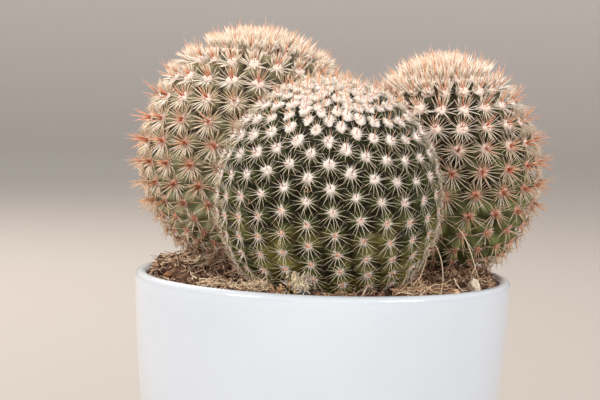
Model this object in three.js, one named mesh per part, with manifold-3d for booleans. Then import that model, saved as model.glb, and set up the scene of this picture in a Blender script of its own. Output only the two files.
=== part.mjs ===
// Potted mammillaria: three round heads in a glazed white pot of soil. Millimetres, +Z up.
// The origin is the centre of the pot's base, and the front of the plant faces -Y.
import * as THREE from "three";
import { ConvexHull } from "three/addons/math/ConvexHull.js";
import { ImprovedNoise } from "three/addons/math/ImprovedNoise.js";
import { mergeVertices } from "three/addons/utils/BufferGeometryUtils.js";
import Module from "manifold-3d";

const wasm = await Module();
wasm.setup();

const degree = Math.PI / 180;
const up = new THREE.Vector3(0, 0, 1);
const gap = 0.3; // clearance between two pieces that touch

// The wall's outer radius falls from the rim as flare and belly say, in mm and mm squared of depth.
const pot = {
  height: 98,
  rimRadius: 55,
  wall: 3.4,
  floor: 6,
  baseEdge: 5,
  flare: 0.0233,
  belly: 0.0011,
  sides: 48,
  outerSteps: 5,
  innerSteps: 3,
  roundSteps: 3,
  color: "#e8eaee",
};

// Mounds are [x, y, height, spread], on a level a little below the rim.
const soil = {
  level: pot.height - 0.9,
  wallDip: 1.5,
  dipWidth: 5,
  mounds: [
    [-41, -3, 4.2, 9],
    [42, 6, 2.6, 10],
    [8, 20, 1.2, 14],
  ],
  crumb: 0.6,
  crumbSize: 5,
  rings: 12,
  sides: 34,
  sideSteps: 3,
  color: "#4b3627",
};

// Angles are in degrees, and centre is measured from the middle of the rim. An areole sits at row t of
// its column, firstRow + rowStep t + rowEase t^2 from the crown, and shift is how many rows the lattice
// climbs in one turn of the columns.
const heads = [
  {
    name: "cactus_front",
    centre: [1, -26, 24],
    radius: 30.95,
    stretch: 1.071,
    lean: [0.5, 28.5],
    columns: 26,
    shift: 10,
    turn: -2.5,
    firstRow: 32.2,
    rowStep: 12.1,
    rowEase: -0.246,
    rowTwist: 1.55,
    tubercle: 1.9,
    spines: [
      { bearing: 30, rise: 32, length: 3.9 },
      { bearing: 150, rise: 32, length: 3.9 },
      { bearing: 270, rise: 32, length: 3.9 },
    ],
    crownSpine: { rise: 66, length: 4 },
    rootRadius: 9,
    color: "#52683d",
  },
  {
    name: "cactus_left",
    centre: [-23, 28.5, 32.3],
    radius: 33.2,
    stretch: 1.047,
    lean: [1.7, -6.6],
    columns: 22,
    shift: 2,
    turn: -25.8,
    firstRow: 66.5,
    rowStep: 12.27,
    rowEase: -0.32,
    rowTwist: 4.13,
    tubercle: 2.6,
    spines: [
      { bearing: 90, rise: 66, length: 8.5 },
      { bearing: 210, rise: 34, length: 5.6 },
      { bearing: 330, rise: 34, length: 5.6 },
    ],
    crownSpine: { rise: 74, length: 7.5 },
    rootRadius: 8,
    color: "#6d7a50",
  },
  {
    name: "cactus_right",
    centre: [37, 18, 30.1],
    radius: 26.3,
    stretch: 1.177,
    lean: [-8, 6.5],
    columns: 18,
    shift: 2,
    turn: 14.6,
    firstRow: 47.5,
    rowStep: 12,
    rowEase: -0.05,
    rowTwist: -5.48,
    tubercle: 2.6,
    spines: [
      { bearing: 90, rise: 66, length: 8.5 },
      { bearing: 210, rise: 34, length: 5.6 },
      { bearing: 330, rise: 34, length: 5.6 },
    ],
    crownSpine: { rise: 74, length: 7.5 },
    rootRadius: 7,
    color: "#6a7a50",
  },
];

// What every head shares. Rows crowd together inside crownEdge, by crownPower, and an areole's edge lies
// areoleDrop under its middle. A spine keeps spineClear from the ground and spineGap from other spines.
const growth = {
  firstRow: -14,
  lastRow: 16,
  crownEdge: 26,
  crownPower: 0.7,
  crownEnd: 3,
  crownDip: 0.5,
  rootEnd: 168,
  areole: 0.85,
  areoleDrop: 0.25,
  spacing: 3,
  furrowSpacing: 2.2,
  plainSpacing: 4.5,
  bareDepth: 0.4,
  rootDepth: 16,
  rootTaper: 0.7,
  rootSides: 10,
  rootRing: 0.1,
  hollowClear: gap + 0.2,
  hollowDetail: 6,
  flatten: 2.5,
  spineClear: 0.9,
  spineGap: 0.55,
  steepest: 86,
  steepening: 12,
};

// Loose pieces on the soil: [name, length, width, thickness, x, y, turn, colour]. Chips are angular.
const litter = [
  ["pebble_cream", 4.6, 3.6, 4.2, 42.6, -25.4, 20, "#d9d2ba"],
  ["pebble_tan", 3.6, 2.6, 2, 36.3, -33.4, -15, "#c9a27a"],
  ["bark_chip_1", 5.2, 2.4, 1.6, 18, -45.2, 22, "#c8a878"],
  ["bark_chip_2", 3.4, 2, 1.5, 12, -47.6, 12, "#b9966a"],
  ["bark_chip_3", 5, 2.4, 1.7, 32.6, -17.6, 35, "#a9673c"],
  ["bark_chip_4", 3.2, 2.2, 1.6, 30.5, -24.5, -30, "#a8683f"],
  ["bark_chip_5", 5, 3, 2, -43.2, -19.6, 55, "#8d5f40"],
  ["dried_flower", 4.2, 2.4, 3, -7.4, -49.6, 6, "#d6c79a"],
];
const litterSink = 0.5;

const noise = new ImprovedNoise();

function wallRadius(z) {
  const below = z - pot.height;
  return pot.rimRadius + pot.flare * below - pot.belly * below * below;
}

// Points of a quarter or half round, from angle start to end.
function arc(radius, height, size, start, end, steps) {
  return Array.from({ length: steps + 1 }, (_, i) => {
    const angle = (start + ((end - start) * i) / steps) * degree;
    return new THREE.Vector2(radius + size * Math.cos(angle), height + size * Math.sin(angle));
  });
}

// The wall between two heights, offset inwards, without its two end points.
function wallLine(from, to, inwards, steps) {
  return Array.from({ length: steps - 1 }, (_, i) => {
    const z = from + ((to - from) * (i + 1)) / steps;
    return new THREE.Vector2(wallRadius(z) - inwards, z);
  });
}

function lathe(profile, sides) {
  return new THREE.LatheGeometry(profile, sides).rotateX(Math.PI / 2);
}

function potGeometry() {
  const lip = pot.wall / 2;
  const lipHeight = pot.height - lip;
  const edge = pot.baseEdge;
  const innerFloor = pot.floor + edge;
  const profile = [
    new THREE.Vector2(0, 0),
    ...arc(wallRadius(edge) - edge, edge, edge, -90, 0, pot.roundSteps),
    ...wallLine(edge, lipHeight, 0, pot.outerSteps),
    ...arc(wallRadius(lipHeight) - lip, lipHeight, lip, 0, 180, 2 * pot.roundSteps),
    ...wallLine(lipHeight, innerFloor, pot.wall, pot.innerSteps),
    ...arc(wallRadius(innerFloor) - pot.wall - edge, innerFloor, edge, 0, -90, pot.roundSteps),
    new THREE.Vector2(0, pot.floor),
  ];
  return lathe(profile, pot.sides);
}

// A closed mesh with its shared corners merged, as a solid that can be joined or cut.
function toSolid(geometry) {
  const bare = geometry.clone();
  bare.deleteAttribute("normal");
  bare.deleteAttribute("uv");
  const merged = mergeVertices(bare, 1e-3);
  const vertProperties = new Float32Array(merged.attributes.position.array);
  const triVerts = new Uint32Array(merged.index.array);
  return new wasm.Manifold(new wasm.Mesh({ numProp: 3, vertProperties, triVerts }));
}

function toGeometry(solid) {
  const mesh = solid.getMesh();
  return new THREE.BufferGeometry()
    .setAttribute("position", new THREE.BufferAttribute(mesh.vertProperties, 3))
    .setIndex(new THREE.BufferAttribute(mesh.triVerts, 1));
}

function indexedGeometry(places, faces) {
  return new THREE.BufferGeometry().setFromPoints(places).setIndex(faces.flat());
}

// Height of the soil: a level with mounds, fine crumbs, and a dip where it meets the pot.
function soilHeight(x, y) {
  const mounds = soil.mounds.map(([mx, my, height, spread]) => {
    const away = (x - mx) ** 2 + (y - my) ** 2;
    return height * Math.exp(-away / (2 * spread * spread));
  });
  const crumbs = soil.crumb * noise.noise(x / soil.crumbSize, y / soil.crumbSize, 0.5);
  const toWall = pot.rimRadius - pot.wall - gap - Math.hypot(x, y);
  const dip = Math.max(0, 1 - toWall / soil.dipWidth) ** 2;
  const heap = mounds.reduce((sum, height) => sum + height, 0) * (1 - dip);
  return soil.level + heap + crumbs - soil.wallDip * dip;
}

// The soil fills the pot: a relief on top, then rings down the wall to the floor.
function soilGeometry() {
  const top = wallRadius(pot.height) - pot.wall - gap;
  const floor = pot.floor + gap;
  const foot = pot.floor + pot.baseEdge;
  const rings = [];
  for (let i = 1; i <= soil.rings; i++) rings.push({ radius: (top * i) / soil.rings });
  for (let i = 1; i <= soil.sideSteps; i++) {
    const z = soil.level - ((soil.level - foot) * i) / soil.sideSteps;
    rings.push({ radius: wallRadius(z) - pot.wall - gap, z });
  }
  rings.push({ radius: wallRadius(foot) - pot.wall - pot.baseEdge, z: floor });
  const places = [new THREE.Vector3(0, 0, soilHeight(0, 0))];
  for (const { radius, z } of rings)
    for (let j = 0; j < soil.sides; j++) {
      const angle = (2 * Math.PI * j) / soil.sides;
      const x = radius * Math.cos(angle);
      const y = radius * Math.sin(angle);
      places.push(new THREE.Vector3(x, y, z ?? soilHeight(x, y)));
    }
  places.push(new THREE.Vector3(0, 0, floor));
  const faces = [];
  const last = places.length - 1;
  const at = (ring, j) => 1 + ring * soil.sides + (j % soil.sides);
  for (let j = 0; j < soil.sides; j++) {
    faces.push([0, at(0, j), at(0, j + 1)]);
    for (let ring = 0; ring + 1 < rings.length; ring++) {
      faces.push([at(ring, j), at(ring + 1, j), at(ring + 1, j + 1)]);
      faces.push([at(ring, j), at(ring + 1, j + 1), at(ring, j + 1)]);
    }
    faces.push([last, at(rings.length - 1, j + 1), at(rings.length - 1, j)]);
  }
  return indexedGeometry(places, faces);
}

// Axis, side and back of a head that leans to +X by lean[0] and to the front by lean[1].
function setFrame(head) {
  const [toRight, toFront] = head.lean.map((angle) => Math.tan(angle * degree));
  head.axis = new THREE.Vector3(toRight, -toFront, 1).normalize();
  head.side = new THREE.Vector3(0, 1, 0).cross(head.axis).normalize();
  head.back = new THREE.Vector3().crossVectors(head.axis, head.side);
  head.middle = new THREE.Vector3(...head.centre).addScaledVector(up, pot.height);
}

// Distance from a head's middle to its smooth surface, along a unit direction.
function reach(head, direction) {
  const along = direction.dot(head.axis);
  const across = 1 - along * along;
  return head.radius / Math.sqrt(across + (along * along) / (head.stretch * head.stretch));
}

// Angle from the crown of row t. Young rows near the crown crowd together.
function rowAngle(head, t) {
  const { crownEdge, crownPower } = growth;
  const plain = head.firstRow + head.rowStep * t + head.rowEase * t * t;
  if (plain > crownEdge) return plain;
  const root = Math.sqrt(head.rowStep ** 2 - 4 * head.rowEase * (head.firstRow - crownEdge));
  const edgeRow = (root - head.rowStep) / (2 * head.rowEase);
  const power = 1 - crownPower;
  const shrink = 1 + (power * root * (t - edgeRow)) / crownEdge;
  return shrink > 0 ? crownEdge * shrink ** (1 / power) : 0;
}

// Unit direction from a head's middle to column k, row t of its lattice.
function latticeDirection(head, k, t) {
  const s = rowAngle(head, t) * degree;
  const turn = (head.turn + (360 / head.columns) * k + head.rowTwist * t) * degree;
  return new THREE.Vector3()
    .addScaledVector(head.side, Math.sin(s) * Math.sin(turn))
    .addScaledVector(head.back, -Math.sin(s) * Math.cos(turn))
    .addScaledVector(head.axis, head.stretch * Math.cos(s))
    .normalize();
}

function surfacePlace(head, direction, depth) {
  return direction.clone().multiplyScalar(reach(head, direction) - depth).add(head.middle);
}

// Lattice points from the equator outwards, as long as they are far enough from those already kept.
function latticeSites(head) {
  const found = [];
  for (let k = 0; k < head.columns; k++)
    for (let row = growth.firstRow; row < growth.lastRow; row++)
      for (const half of [0, 0.5]) {
        const climb = head.shift / head.columns;
        const t = row + climb * (k + half) + half;
        const s = rowAngle(head, t);
        if (s < growth.crownEnd || s > growth.rootEnd) continue;
        const direction = latticeDirection(head, k + half, t);
        found.push({ direction, s, areole: half === 0 });
      }
  found.sort((a, b) => Number(b.areole) - Number(a.areole) || Math.abs(a.s - 90) - Math.abs(b.s - 90));
  const rootEdge = Math.asin(head.rootRadius / head.radius) + growth.rootRing;
  const kept = [];
  for (const site of found) {
    const place = surfacePlace(head, site.direction, 0);
    if (site.direction.angleTo(up) > Math.PI - rootEdge) continue;
    site.bare = place.z < soilHeight(place.x, place.y) - growth.bareDepth;
    const spacing = site.bare ? growth.plainSpacing : site.areole ? growth.spacing : growth.furrowSpacing;
    if (kept.some((other) => other.place.distanceTo(place) < spacing)) continue;
    kept.push({ ...site, place });
  }
  return kept;
}

// The two contact planes that a head shares with its neighbours. It stays half a gap behind each.
function contactPlanes(head) {
  return heads
    .filter((other) => other !== head)
    .map((other) => {
      const way = other.middle.clone().sub(head.middle);
      const distance = way.length();
      way.normalize();
      const own = reach(head, way);
      const overlap = own + reach(other, way.clone().negate()) - distance;
      return { way, limit: own - overlap / 2 - gap };
    });
}

// Presses a point back from the contact planes, softly over the width flatten.
function pressBack(head, place) {
  const width = growth.flatten;
  for (const { way, limit } of head.planes) {
    const past = place.clone().sub(head.middle).dot(way) - limit;
    if (past > width) place.addScaledVector(way, -past);
    else if (past > -width) place.addScaledVector(way, -((past + width) ** 2) / (4 * width));
  }
  return place;
}

// The root end below a head: where it leaves the body, its lower edge and its tip.
function rootPlaces(head) {
  const places = [];
  const bottom = pot.height - growth.rootDepth;
  const down = reach(head, up.clone().negate());
  const meet = down * Math.sqrt(1 - (head.rootRadius / head.radius) ** 2);
  const levels = [
    [head.middle.z - meet, head.rootRadius],
    [bottom, head.rootRadius * growth.rootTaper],
  ];
  for (const [z, radius] of levels)
    for (let j = 0; j < growth.rootSides; j++) {
      const angle = (2 * Math.PI * j) / growth.rootSides;
      const x = head.middle.x + radius * Math.cos(angle);
      const y = head.middle.y + radius * Math.sin(angle);
      places.push(new THREE.Vector3(x, y, z));
    }
  places.push(new THREE.Vector3(head.middle.x, head.middle.y, bottom));
  return places;
}

// True where a spine's line keeps clear of the soil, the pot, the neighbours and the litter.
function isFree(head, start, tip) {
  return [0.25, 0.5, 0.75, 1].every((share) => {
    const point = start.clone().lerp(tip, share);
    const fromAxis = Math.hypot(point.x, point.y);
    const overLip = Math.abs(fromAxis - pot.rimRadius + pot.wall / 2) < pot.wall;
    const ground = overLip ? pot.height : fromAxis < pot.rimRadius ? soilHeight(point.x, point.y) : 0;
    if (point.z < ground + growth.spineClear) return false;
    const fromMiddle = point.clone().sub(head.middle);
    if (head.planes.some(({ way, limit }) => fromMiddle.dot(way) > limit)) return false;
    return litterSpheres.every(({ centre, radius }) => point.distanceTo(centre) > radius);
  });
}

// The line of a spine from its areole, raised step by step until it is free and crosses no other.
function findTip(head, areole, spine, others) {
  const start = areole.place;
  const bearing = spine.bearing * degree;
  const flat = areole.side.clone().multiplyScalar(Math.cos(bearing));
  flat.addScaledVector(areole.ahead, Math.sin(bearing));
  const young = areole.s < growth.crownEdge;
  const { rise, length } = young ? { ...spine, ...head.crownSpine } : spine;
  for (let steep = rise; steep < growth.steepest; steep += growth.steepening) {
    const angle = steep * degree;
    const tip = start.clone().addScaledVector(flat, length * Math.cos(angle));
    tip.addScaledVector(areole.out, length * Math.sin(angle));
    if (!isFree(head, start, tip)) continue;
    const line = new THREE.Line3(start, tip);
    const crosses = (other) => line.distanceSqToLine3(other.line) < growth.spineGap ** 2;
    if (!others.some((other) => other.areole !== areole && crosses(other))) return { areole, line };
  }
  return null;
}

// One head: a skin stretched over tubercles and the furrows between them, with spines raised from it.
function headGeometry(head) {
  const places = [];
  const directions = [];
  const areoles = [];
  const addPoint = (place) => {
    directions.push(place.clone().sub(head.middle).normalize());
    return places.push(pressBack(head, place)) - 1;
  };
  for (const site of latticeSites(head)) {
    const young = Math.min(1, site.s / (2 * growth.crownEdge));
    if (site.bare || !site.areole) {
      addPoint(surfacePlace(head, site.direction, head.tubercle * (site.bare ? 0.5 : young)));
      continue;
    }
    const out = site.direction.clone();
    const side = head.axis.clone().cross(out).normalize();
    const ahead = out.clone().cross(side);
    const centre = addPoint(site.place.clone());
    const rings = head.spines.map((_, i) => {
      const angle = (head.spines[0].bearing + 60 + 120 * i) * degree;
      const corner = site.place.clone().addScaledVector(side, growth.areole * Math.cos(angle));
      corner.addScaledVector(ahead, growth.areole * Math.sin(angle)).addScaledVector(out, -growth.areoleDrop);
      return addPoint(corner);
    });
    areoles.push({ ...site, out, side, ahead, centre, rings, place: places[centre] });
  }
  addPoint(surfacePlace(head, head.axis, growth.crownDip));
  rootPlaces(head).forEach((place) => {
    directions.push(place.clone().sub(head.middle).normalize());
    places.push(place);
  });
  const numbers = new Map(directions.map((direction, i) => [direction, i]));
  const faces = new Map();
  const keyOf = (face) => [...face].sort((a, b) => a - b).join();
  for (const { edge } of new ConvexHull().setFromPoints(directions).faces) {
    const face = [edge, edge.next, edge.prev].map((half) => numbers.get(half.head().point));
    faces.set(keyOf(face), face);
  }
  const spines = [];
  for (const areole of areoles)
    head.spines.forEach((spine, i) => {
      const [a, b] = [areole.rings[(i + 2) % 3], areole.rings[i]];
      const key = keyOf([areole.centre, a, b]);
      const found = faces.has(key) && findTip(head, areole, spine, spines);
      if (!found) return;
      spines.push(found);
      const [p, q, r] = faces.get(key);
      const tip = places.push(found.line.end) - 1;
      faces.delete(key);
      [[p, q], [q, r], [r, p]].forEach(([from, to]) => faces.set(keyOf([from, to, tip]), [from, to, tip]));
    });
  return indexedGeometry(places, [...faces.values()]);
}

// The smooth body and root of a head, larger by a clearance: what the soil leaves free.
function headHollow(head) {
  const clear = growth.hollowClear;
  const ball = new THREE.IcosahedronGeometry(1, growth.hollowDetail);
  const corners = ball.attributes.position;
  for (let i = 0; i < corners.count; i++) {
    const direction = new THREE.Vector3().fromBufferAttribute(corners, i).normalize();
    const place = direction.clone().multiplyScalar(reach(head, direction) + clear).add(head.middle);
    corners.setXYZ(i, place.x, place.y, place.z);
  }
  const bottom = pot.height - growth.rootDepth - gap;
  const length = head.middle.z - bottom;
  const socket = new THREE.CylinderGeometry(head.rootRadius + clear, head.rootRadius + clear, length, 20)
    .rotateX(Math.PI / 2)
    .translate(head.middle.x, head.middle.y, bottom + length / 2);
  return toSolid(ball).add(toSolid(socket));
}

// A weathered lump: a rough ball stretched to length, width and thickness, grown by spare all round.
function litterGeometry([name, length, width, thickness, x, y, turn], spare) {
  const geometry = new THREE.IcosahedronGeometry(0.5, name.startsWith("bark") ? 0 : 1);
  const corners = geometry.attributes.position;
  for (let i = 0; i < corners.count; i++) {
    const corner = new THREE.Vector3().fromBufferAttribute(corners, i);
    const rough = 1 + 0.22 * noise.noise(4 * corner.x + x, 4 * corner.y + y, 4 * corner.z);
    corners.setXYZ(i, corner.x * rough, corner.y * rough, corner.z * rough);
  }
  const z = soilHeight(x, y) + thickness / 2 - litterSink;
  return geometry
    .scale(length + 2 * spare, width + 2 * spare, thickness + 2 * spare)
    .rotateZ(turn * degree)
    .translate(x, y, z);
}

const litterSpheres = litter.map(([, length, width, thickness, x, y]) => ({
  centre: new THREE.Vector3(x, y, soilHeight(x, y) + thickness / 2 - litterSink),
  radius: Math.max(length, width, thickness) / 2 + 0.5,
}));

const plant = new THREE.Group();

function addPiece(name, geometry, color, roughness) {
  const piece = new THREE.Mesh(geometry, new THREE.MeshStandardMaterial({ color, roughness, metalness: 0 }));
  piece.name = name;
  plant.add(piece);
}

heads.forEach(setFrame);
heads.forEach((head) => (head.planes = contactPlanes(head)));

addPiece("pot", potGeometry(), pot.color, 0.1);
let ground = toSolid(soilGeometry());
for (const head of heads) ground = ground.subtract(headHollow(head));
for (const lump of litter) ground = ground.subtract(toSolid(litterGeometry(lump, gap + 0.1)));
addPiece("soil", toGeometry(ground), soil.color, 1);
for (const head of heads) addPiece(head.name, headGeometry(head), head.color, 0.6);
for (const lump of litter) addPiece(lump[0], litterGeometry(lump, 0), lump.at(-1), 0.9);

export default plant;
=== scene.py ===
# Potted mammillaria: three round heads in a glazed white pot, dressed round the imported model.
# Lengths are millimetres until a mesh is written. The origin is the middle of the pot's base.
import math
from functools import partial

import bmesh
import bpy
import numpy as np
from mathutils import Matrix, Vector, noise


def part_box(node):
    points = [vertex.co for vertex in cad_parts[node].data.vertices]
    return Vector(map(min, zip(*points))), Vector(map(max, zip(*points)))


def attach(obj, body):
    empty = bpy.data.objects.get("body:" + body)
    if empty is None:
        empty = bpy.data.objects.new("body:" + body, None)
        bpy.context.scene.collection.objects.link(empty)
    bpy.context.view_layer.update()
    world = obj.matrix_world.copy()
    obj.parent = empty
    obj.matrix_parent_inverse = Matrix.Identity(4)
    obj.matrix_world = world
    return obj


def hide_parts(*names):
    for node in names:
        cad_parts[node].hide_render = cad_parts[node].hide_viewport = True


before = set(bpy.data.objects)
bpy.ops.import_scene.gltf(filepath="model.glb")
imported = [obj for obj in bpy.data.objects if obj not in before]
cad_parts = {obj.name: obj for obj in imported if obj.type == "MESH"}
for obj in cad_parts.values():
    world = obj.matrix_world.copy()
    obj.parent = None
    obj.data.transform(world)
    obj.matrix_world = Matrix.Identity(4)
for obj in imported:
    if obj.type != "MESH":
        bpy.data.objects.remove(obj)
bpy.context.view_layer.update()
mm = 0.001
draw = np.random.default_rng(41)  # every random draw comes from here, in one order
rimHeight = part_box("pot")[1].z / mm
rim = np.array([0, 0, rimHeight])  # the rim's middle, which many places are measured from


def smooth(low, high, value):
    share = np.clip((value - low) / (high - low), 0, 1)
    return share * share * (3 - 2 * share)


def unit(vectors):
    return vectors / np.linalg.norm(vectors, axis=-1, keepdims=True)


def linear(colour):  # an sRGB hex value as linear red, green, blue and alpha
    parts = [int(colour[i : i + 2], 16) / 255 for i in (1, 3, 5)]
    return tuple(c / 12.92 if c < 0.04045 else ((c + 0.055) / 1.055) ** 2.4 for c in parts) + (1.0,)


def pattern(coords, size, **settings):  # a texture's inputs for features of that size in mm
    return {"Vector": coords, "Scale": 1 / (size * mm), **settings}


# Sets a node's inputs to values, or links them to a socket or to a node's first output in use.
def fill(node, inputs):
    for name, value in inputs.items():
        if isinstance(value, bpy.types.Node):
            value = next(socket for socket in value.outputs if socket.enabled)
        if isinstance(value, bpy.types.NodeSocket):
            node.id_data.links.new(value, node.inputs[name])
        else:
            node.inputs[name].default_value = value


# Adds a shader node: stops are a ramp's places and colours.
def addNode(tree, kind, inputs=None, stops=None, **settings):
    made = tree.nodes.new("ShaderNode" + kind)
    for name, value in settings.items():
        setattr(made, name, value)
    fill(made, inputs or {})
    if stops:
        elements = made.color_ramp.elements
        elements.remove(elements[1])
        for number, (place, colour) in enumerate(stops.items()):
            element = elements.new(place) if number else elements[0]
            element.position, element.color = place, linear(colour)
    return made


# A material, its shader, what adds a node to it, and the object's own coordinates.
def newMaterial(name, sockets):
    material = bpy.data.materials.new(name)
    material.use_nodes = True
    add = partial(addNode, material.node_tree)
    shader = material.node_tree.nodes["Principled BSDF"]
    fill(shader, sockets)
    return material, shader, add, add("TexCoord").outputs["Object"]


# Gives the shader a colour that a fine noise varies from dark to pale, and a bump from the same noise.
def addGrain(shader, add, coords, colour, size, detail, dark, pale, strength=0, height=0):
    grain = add("TexNoise", pattern(coords, size, Detail=detail))
    value = add("MapRange", {"Value": grain, "To Min": dark, "To Max": pale})
    fill(shader, {"Base Color": add("HueSaturation", {"Color": colour, "Value": value})})
    if strength:
        bump = add("Bump", {"Height": grain, "Strength": strength, "Distance": height * mm})
        fill(shader, {"Normal": bump})


# A material whose colour follows the piece's tint, with a fine grain.
def tintedMaterial(name, stops, sockets, *grain):
    material, shader, add, coords = newMaterial(name, sockets)
    tint = add("Attribute", attribute_name="tint").outputs["Fac"]
    addGrain(shader, add, coords, add("ValToRGB", {"Fac": tint}, stops=stops), *grain)
    return material


def newMesh(name, points, triangles):
    mesh = bpy.data.meshes.new(name)
    mesh.from_pydata(np.asarray(points) * mm, [], triangles, shade_flat=False)
    return mesh


# A finished bmesh as numpy points and triangles, with the bmesh freed.
def takeOut(bm):
    bmesh.ops.triangulate(bm, faces=bm.faces)
    bm.verts.index_update()
    points = np.array([v.co for v in bm.verts])
    triangles = np.array([[v.index for v in face.verts] for face in bm.faces])
    bm.free()
    return points, triangles


def show(name, data):
    shown = bpy.data.objects.new(name, data)
    bpy.context.scene.collection.objects.link(shown)
    return shown


def addPiece(name, mesh, material, slot, replaced=None):
    piece = show(name, mesh)
    mesh.materials.append(material)
    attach(piece, "root")
    if replaced:
        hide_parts(replaced)


def addValues(mesh, name, values):
    attribute = mesh.attributes.new(name, "FLOAT", "POINT")
    attribute.data.foreach_set("value", np.asarray(values, dtype=np.float32).ravel())


# A piece of many copies of templates, each set by an origin, three column vectors and a bend that grows as
# z squared. Every copy has a tint, and every point keeps its template's height as the value "along".
def addCopies(name, templates, origin, columns, bend, tint, clear, *rest):
    parts, start = [], 0
    for number, (shape, faces) in enumerate(templates):
        mine = slice(number, None, len(templates))
        world = np.einsum("nij,vj->nvi", columns[mine], shape) + origin[mine][:, None]
        world += bend[mine][:, None] * (shape[:, 2] ** 2)[None, :, None]
        count, size = world.shape[:2]
        triangles = faces[None] + (start + size * np.arange(count))[:, None, None]
        along, tints = np.tile(shape[:, 2], count), np.repeat(tint[mine], size)
        parts.append((world.reshape(-1, 3), triangles.reshape(-1, 3), along, tints))
        start += count * size
    points, triangles, along, tints = (np.concatenate(part) for part in zip(*parts))
    mesh = newMesh(name, clear(points) if clear else points, triangles)
    addValues(mesh, "along", along)
    addValues(mesh, "tint", tints)
    addPiece(name, mesh, *rest)
    print(f"{name}: {len(origin)} copies, {len(triangles)} triangles")
    return mesh


# Column vectors for copies that run along a way.
def columnsOf(across, way, width, thick, length):
    return np.stack([across * width, np.cross(way, across) * thick, way * length], axis=2)


# Stands a shape of unit height on z = 0 and cuts its upright edges.
def cutUpright(bm, cuts):
    bmesh.ops.translate(bm, verts=bm.verts, vec=(0, 0, 0.5))
    upright = [e for e in bm.edges if abs(e.verts[0].co.z - e.verts[1].co.z) > 0.5]
    if cuts:
        bmesh.ops.subdivide_edges(bm, edges=upright, cuts=cuts)


# A strand of unit length along z: three sides, rings at equal steps, a closed base and a point.
def strand(rings, fullness=0.75, wiggle=0.0, turns=0.5):
    bm = bmesh.new()
    bmesh.ops.create_cone(bm, cap_ends=True, segments=3, radius1=1, radius2=0, depth=1)
    cutUpright(bm, rings)
    for v in bm.verts:
        taper = (1 - v.co.z) ** (fullness - 1) if v.co.z < 0.999 else 1
        v.co.x *= taper
        v.co.y *= taper
    points, triangles = takeOut(bm)
    angle = 2 * math.pi * turns * points[:, 2]
    points[:, 0] += wiggle * np.sin(angle)
    points[:, 1] += wiggle * (1 - np.cos(angle))
    return points, triangles


# A rough ball of about unit radius, flattened by height.
def lump(seed, subdivisions, rough, height, size):
    bm = bmesh.new()
    bmesh.ops.create_icosphere(bm, subdivisions=subdivisions, radius=1)
    for v in bm.verts:
        v.co *= 1 + rough * noise.fractal(v.co * size + Vector((seed * 7.3, 0, 0)), 0.7, 2.1, 3)
    bmesh.ops.scale(bm, verts=bm.verts, vec=(1, 1, height))
    return takeOut(bm)


# A line of radius and height turned once round the z axis.
def turned(line, sides):
    bm = bmesh.new()
    verts = [bm.verts.new((radius, 0, z)) for radius, z in line]
    edges = [bm.edges.new(pair) for pair in zip(verts, verts[1:])]
    bmesh.ops.spin(bm, geom=verts + edges, axis=(0, 0, 1), angle=2 * math.pi, steps=sides, use_merge=True)
    bmesh.ops.remove_doubles(bm, verts=bm.verts, dist=1e-4)
    bmesh.ops.recalc_face_normals(bm, faces=bm.faces)
    return bm


# Camera
cameraValues = {
    "distance": 520.0,  # from the middle of the rim
    "elevation": 6.656,  # degrees above the rim's plane
    "roll": 1.825,
    "aim": (-7.40, 0.0, 21.11),  # from the middle of the rim
    "focalPixels": 1765.2,
    "imageWidth": 600,
    "sensorWidth": 36.0,
}


def aimed(place, aim):  # the matrix of a camera or light that looks from a place at an aim
    turn = (Vector(aim) - Vector(place)).to_track_quat("-Z", "Y")
    return Matrix.Translation(place) @ turn.to_matrix().to_4x4()


def makeCamera():
    angle = math.radians(cameraValues["elevation"])
    place = cameraValues["distance"] * np.array([0, -math.cos(angle), math.sin(angle)])
    data = bpy.data.cameras.new("camera")
    data.sensor_width = cameraValues["sensorWidth"]
    data.lens = cameraValues["focalPixels"] * data.sensor_width / cameraValues["imageWidth"]
    camera = bpy.context.scene.camera = show("camera", data)
    roll = Matrix.Rotation(math.radians(cameraValues["roll"]), 4, "Z")
    camera.matrix_world = aimed((place + rim) * mm, (rim + cameraValues["aim"]) * mm) @ roll


makeCamera()
print("camera set")

# Studio: a pale floor that sweeps up into a round backdrop, four soft boxes and a soft white sky
studio = {
    "floorRadius": 2.6,  # metres, as all of the studio
    "sweep": 1.2,
    "wallHeight": 1.7,
    "sides": 96,
    "sweepSteps": 12,
    "floorColour": "#a39d98",
    # the wall's paler colour is painted light for the weaker light on the wall
    "wallColour": "#ebe6e1",
    "sky": "#f4f2f1",
    "skyStrength": 1.15,
    # place, aim, width, height, watts, colour
    "lights": {
        "keySoftbox": ((-1.0, -0.8, 0.8), (0, 0, 0.1), 0.4, 0.55, 9.4, "#fff9f2"),
        "fillSoftbox": ((0.98, -0.8, 0.75), (0, 0, 0.1), 0.6, 0.4, 7.9, "#fffaf6"),
        "lowSoftbox": ((0.1, -1.15, 0.2), (0, 0, 0.12), 0.9, 0.25, 1.3, "#fff8f2"),
        "backSoftbox": ((-0.55, 0.85, 0.9), (0, 0, 0.14), 0.8, 0.4, 13.4, "#fff4e8"),
    },
}


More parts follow.
